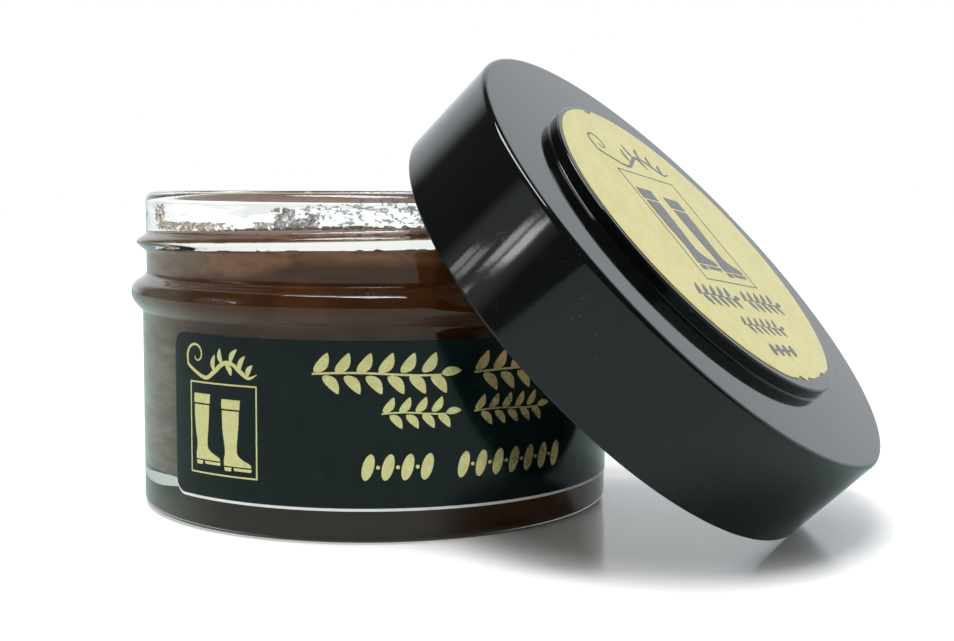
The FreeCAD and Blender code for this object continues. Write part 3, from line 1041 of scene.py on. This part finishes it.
def make_lid():
    ceiling = LID_H - LID_TOP_T
    inside = [(0, ceiling), (LID_BORE_R, ceiling, 0.25), (LID_BORE_R, LID_MOUTH)]
    outside = rounded([(LID_BORE_R, LID_MOUTH), (LID_BORE_R + LID_MOUTH, 0.0, 0.12), (LID_R, 0, LID_EDGE_R),
                       (LID_R, LID_H, LID_TOP_R), (BOSS_R, LID_H, 0.2), (BOSS_R, LID_H + BOSS_H, BOSS_EDGE_R),
                       (0, LID_H + BOSS_H)], 9.0)
    bore = split(rounded(inside, 9.0), 3.0)
    bore = bore[:-1] + split([bore[-2], bore[-1]], 0.1)[1:]
    walls = []
    for p, q in zip(bore, bore[1:]):
        walls += split([p, q], 0.1)[:-1] if abs(p[0] - q[0]) < 1e-6 else [p]
    profile = walls + split(outside, 2.5)
    return lathe("lid_cap", profile, 420, PLASTIC, lid_shift, lid_place)


def make_wad():
    z1 = LID_H - LID_TOP_T - LINER_GAP
    z0 = z1 - LINER_T
    mark_r = 0.5 * (BORE_R + NECK_R)
    dent = [(mark_r - 1.1, z0, 0.3), (mark_r - 0.7, z0 + 0.12, 0.3), (mark_r + 0.5, z0 + 0.12, 0.3),
            (mark_r + 0.9, z0, 0.3)]
    profile = rounded([(0, z0), *dent, (LINER_R, z0, 0.12), (LINER_R, z1, 0.12), (0, z1)], 15.0)

    def press(r, z, angle):
        low = z < z0 + 0.3
        x, y = polar(r, angle)
        return r, z + np.where(low, 0.05 * fbm(x * 0.3, y * 0.3, 0, 101, 3), 0)

    return lathe("lid_wad", split(profile, 1.2), 240, BOARD, press, lid_place)


def foil_radius(angle):
    """Edge of the foil disc: nearly round, torn at the bottom and nicked at the top."""
    deg = np.degrees(angle)
    wobble = 0.05 * (fbm(*polar(6, angle), 0, 111, 3) - 0.5)
    torn = near(deg, 265, 22)
    bite = 0.75 * torn * (0.15 + 1.1 * fbm(deg * 0.30, 0, 0, 121, 4))
    nick = 0.45 * near(deg, 84.5, 2.2)
    return FOIL_R + wobble - bite - nick


def on_boss(points):
    """Flat (u, v, height) on the foil disc, u across and v up the slope, to the row frame."""
    p = np.asarray(points, float)
    z = LID_H + BOSS_H + FOIL_T + p[:, 2]
    return lid_place(np.stack([-p[:, 1], p[:, 0], z], 1))


def make_foil():
    segments = 360
    angle = np.arange(segments) * TAU / segments
    rings = np.concatenate([[0.02], np.linspace(0.08, 0.985, 24), [0.996, 1.0]])
    u, v = polar(rings[:, None] * foil_radius(angle), angle)
    v = v + FOIL_OFF
    top = 0.012 * (fbm(u * 0.35, v * 0.35, 0, 131, 3) - 0.5)
    top -= 1.2 * np.maximum(rings - 0.99, 0)[:, None]
    flat = np.stack([u, v], -1).reshape(-1, 2)
    points = np.vstack([at_height(flat, top.ravel()), at_height(flat, -FOIL_T - 0.01)])
    skin = ring_faces(len(rings), segments)
    faces = flipped(skin) + (np.array(skin) + len(flat)).tolist()
    inner = np.arange(segments)
    outer = inner + len(flat) - segments
    after = np.roll(outer, -1)
    faces += np.stack([outer, outer + len(flat), after + len(flat), after], 1).tolist()
    faces += [inner.tolist(), (inner[::-1] + len(flat)).tolist()]
    return make_object("lid_foil", on_boss(points), faces, FOIL, SMOOTH_UP_TO)


def on_foil(points):
    """Print coordinates to the foil; the print is turned a little on the disc."""
    p = np.asarray(points, float)
    turn_by = math.radians(-10.0)
    c, s = math.cos(turn_by), math.sin(turn_by)
    return on_boss(np.stack([c * p[:, 0] - s * p[:, 1], s * p[:, 0] + c * p[:, 1], p[:, 2]], 1))


def make_lid_print():
    pieces = [
        ("lid_emblem", emblem(-6.7, -5.8, 7.5, 10.05, 0.13)),
        ("lid_flourish", flourish(-8.1, 9.1, 10.9, 16.0, 0.75)),
        ("lid_row_top", branch(-12.6, -1.6, -8.2, 2.7, 1.9) + branch(-0.4, 10.8, -8.2, 2.7, 1.9)),
        ("lid_row_low", branch(-6.6, 5.2, -11.9, 2.2, 1.7)),
        ("lid_row_small", bead_row(-4.9, 2.7, -15.1, 1.6, 1.9)),
    ]
    return [join_slabs(name, marks, INK, on_foil) for name, marks in pieces]


# ---- the model
jar = make_jar()
cream = make_cream()
hem = residue("cream_hem", 0, 360, 30.0, 33.2, hem_thickness, CREAM, 0.12)
smears = residue("cream_smears", -142, -38, 30.9, 34.9, smear_thickness, SMEARS, 0.075)
traces = residue("cream_traces", -86, 0, 32.0, 34.9, trace_thickness, TRACES, 0.075)
label = make_label()
label_edge = make_label_edge()
label_print = make_label_print()
lid = make_lid()
wad = make_wad()
foil = make_foil()
lid_print = make_lid_print()

for piece in [jar, cream, hem, smears, traces, label, label_edge] + label_print:
    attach(piece, "jar")
for piece in [lid, foil] + lid_print:
    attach(piece, "lid")
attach(wad, "liner")

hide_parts("glass_jar")
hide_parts("shoe_cream")
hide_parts("jar_label")
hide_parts("lid_shell")
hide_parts("lid_liner")
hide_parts("lid_label")


# ---- studio
def hide_from(obj, *rays):
    """Makes an object invisible to the named kinds of ray."""
    for ray in rays:
        setattr(obj, "visible_" + ray, False)


def make_floor(name, depth, **look):
    """Round floor inside the tent, depth millimetres under the jar."""
    n = 96
    ring = [tuple(FLOOR_RADIUS * direction(360 * i / n)) for i in range(n)]
    obj = link_mesh(name, ring, [list(range(n))], floor_material(name, **look))
    obj.location.z = -depth * MM
    return obj


def tent_material():
    """Light of the surroundings by direction: a white backdrop behind the jar, a dark room in front."""
    p = Paint("studio_tent")
    glow = p.add("Emission")
    p.link(glow.outputs[0], p.out.inputs["Surface"])
    unit = p.add("VectorMath", operation="NORMALIZE")
    p.link(p.coords, unit.inputs[0])
    parts = p.add("SeparateXYZ")
    p.link(unit.outputs[0], parts.inputs[0])
    azimuth = p.math("ARCTAN2", parts.outputs["Y"], parts.outputs["X"])
    left = p.span(azimuth, math.radians(148), math.radians(169), 1.0, 0.0)
    right = p.span(azimuth, math.radians(5), math.radians(30), 0.0, 1.0)
    low = p.span(parts.outputs["Z"], math.sin(math.radians(38)), math.sin(math.radians(55)), 1.0, 0.0)
    backdrop = p.times(p.times(left, right), low)
    to_windows = p.along(unit.outputs[0], direction(-138, 15))
    halo = p.span(to_windows, math.cos(math.radians(17)), math.cos(math.radians(9)), 0.0, 0.5)
    room = p.math("ADD", halo, 0.07)
    total = p.math("MAXIMUM", backdrop, room)
    p.link(total, glow.inputs["Strength"])
    glow.inputs["Color"].default_value = (0.95, 1.0, 1.04, 1.0)
    p.mat.cycles.emission_sampling = "NONE"
    return p.mat


def make_tent():
    """Half dome round the set. The camera and the glass look through it to the white world."""
    segments, rings = 48, 12
    points = [tuple(TENT_RADIUS * direction(360 * j / segments, -4 + 92 * i / (rings - 1)))
              for i in range(rings) for j in range(segments)]
    faces = flipped(ring_faces(rings, segments))
    faces.append([(rings - 1) * segments + j for j in range(segments)][::-1])
    obj = link_mesh("studio_tent", points, faces, tent_material())
    hide_from(obj, "camera", "transmission", "shadow")


def soft_light(name, azimuth, elevation, distance, width, height, radiance, roll=0.0):
    """Rectangular light seen from the object in the given direction, with a set brightness."""
    data = bpy.data.lights.new(name, "AREA")
    data.shape = "RECTANGLE"
    data.size, data.size_y = width, height
    data.energy = radiance * math.pi * width * height
    obj = bpy.data.objects.new(name, data)
    away = direction(azimuth, elevation)
    obj.location = Vector(LIGHT_AIM) + away * distance
    spin = Matrix.Rotation(math.radians(roll), 3, "Z").to_quaternion()
    obj.rotation_euler = (away.to_track_quat("Z", "Y") @ spin).to_euler()
    hide_from(obj, "camera", "transmission")
    bpy.context.scene.collection.objects.link(obj)


def make_world():
    world = bpy.data.worlds.new("studio_world")
    world.use_nodes = True
    back = world.node_tree.nodes["Background"]
    back.inputs["Color"].default_value = (1, 1, 1, 1)
    back.inputs["Strength"].default_value = 1.0
    bpy.context.scene.world = world


def make_camera():
    data = bpy.data.cameras.new("camera")
    data.sensor_width = 36.0
    data.lens = CAMERA_LENS
    data.clip_start = 0.01
    obj = bpy.data.objects.new("camera", data)
    turned = Euler([math.radians(angle) for angle in CAMERA_TURN]).to_matrix().to_4x4()
    obj.matrix_world = Matrix.Translation(CAMERA_AT) @ turned
    bpy.context.scene.collection.objects.link(obj)
    bpy.context.scene.camera = obj


lit_floor = make_floor("studio_floor", 0.04, tone=(0.94, 0.94, 0.94), shade=0.0,
                       near_glow=0.03, far_glow=0.42, outer_glow=0.22)
hide_from(lit_floor, "glossy", "shadow")
mirrored_floor = make_floor("studio_floor_mirrored", 0.05, tone=(0.25, 0.33, 0.318), shade=0.65,
                            near_glow=0.0, far_glow=0.055, outer_glow=0.0)
hide_from(mirrored_floor, "camera", "diffuse", "transmission", "shadow")
make_tent()
make_world()
soft_light("top_light", *TOP_LIGHT)
for i, (azimuth, elevation, wide, tall, radiance) in enumerate(WINDOW_PANES):
    soft_light("window_pane_%d" % (i + 1), azimuth, elevation, WINDOW_FAR, math.radians(wide) * WINDOW_FAR,
               math.radians(tall) * WINDOW_FAR, radiance, WINDOW_LEAN)
make_camera()
bpy.context.scene.view_settings.view_transform = "Standard"
